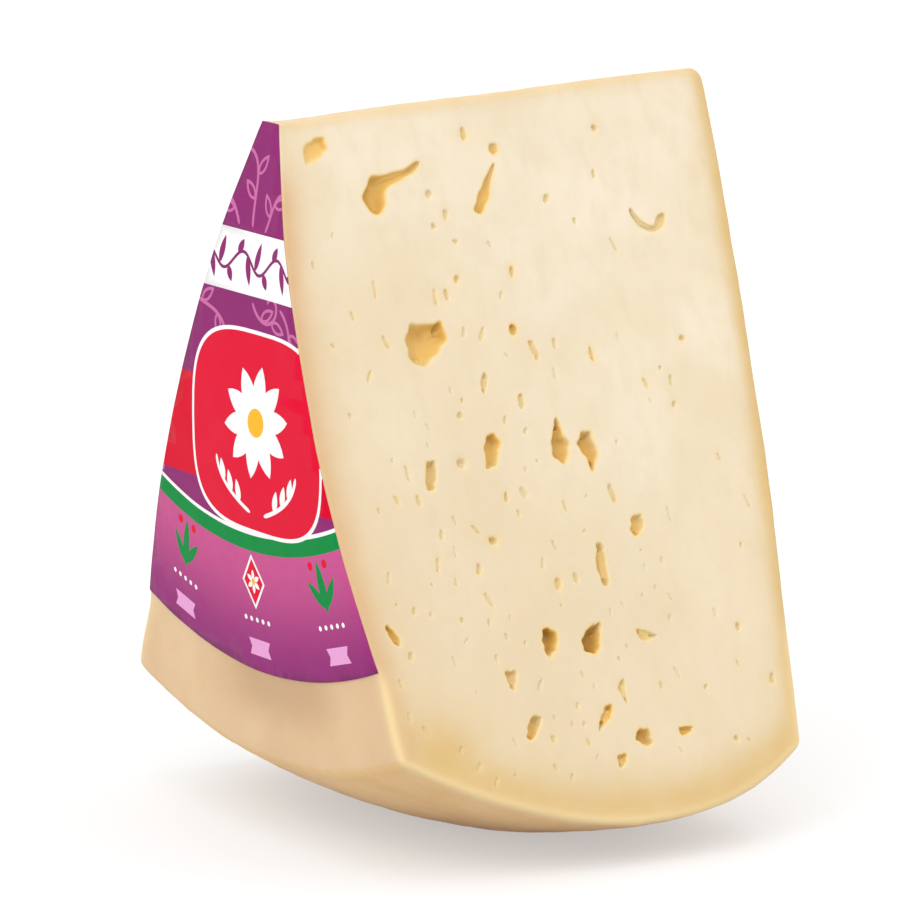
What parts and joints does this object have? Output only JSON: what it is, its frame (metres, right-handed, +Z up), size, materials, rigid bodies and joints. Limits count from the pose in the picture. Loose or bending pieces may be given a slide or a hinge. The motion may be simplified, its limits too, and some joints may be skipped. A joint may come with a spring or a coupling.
{
  "type": "asiago cheese wedge",
  "caption": "Wedge of pale semi-soft cheese with small eyes, standing on its rind heel, with a printed label over most of one side.",
  "frame": {"origin": "on the surface that the wedge stands on, under the middle of its box", "axes": "+Z up from the rind heel to the cut tip, X along the axis of the wheel it was cut from, with the printed face towards -X and the shown cut towards -Y"},
  "size_m": [0.1274, 0.1328, 0.1756],
  "materials": {
    "cheese": "pale cream paste, yellower under a thin tan rind",
    "label": "satin printed paper in purple, white, red and green"
  },
  "bodies": {
    "root": {"cheese": "cheese", "label": "label"}
  },
  "joints": []
}
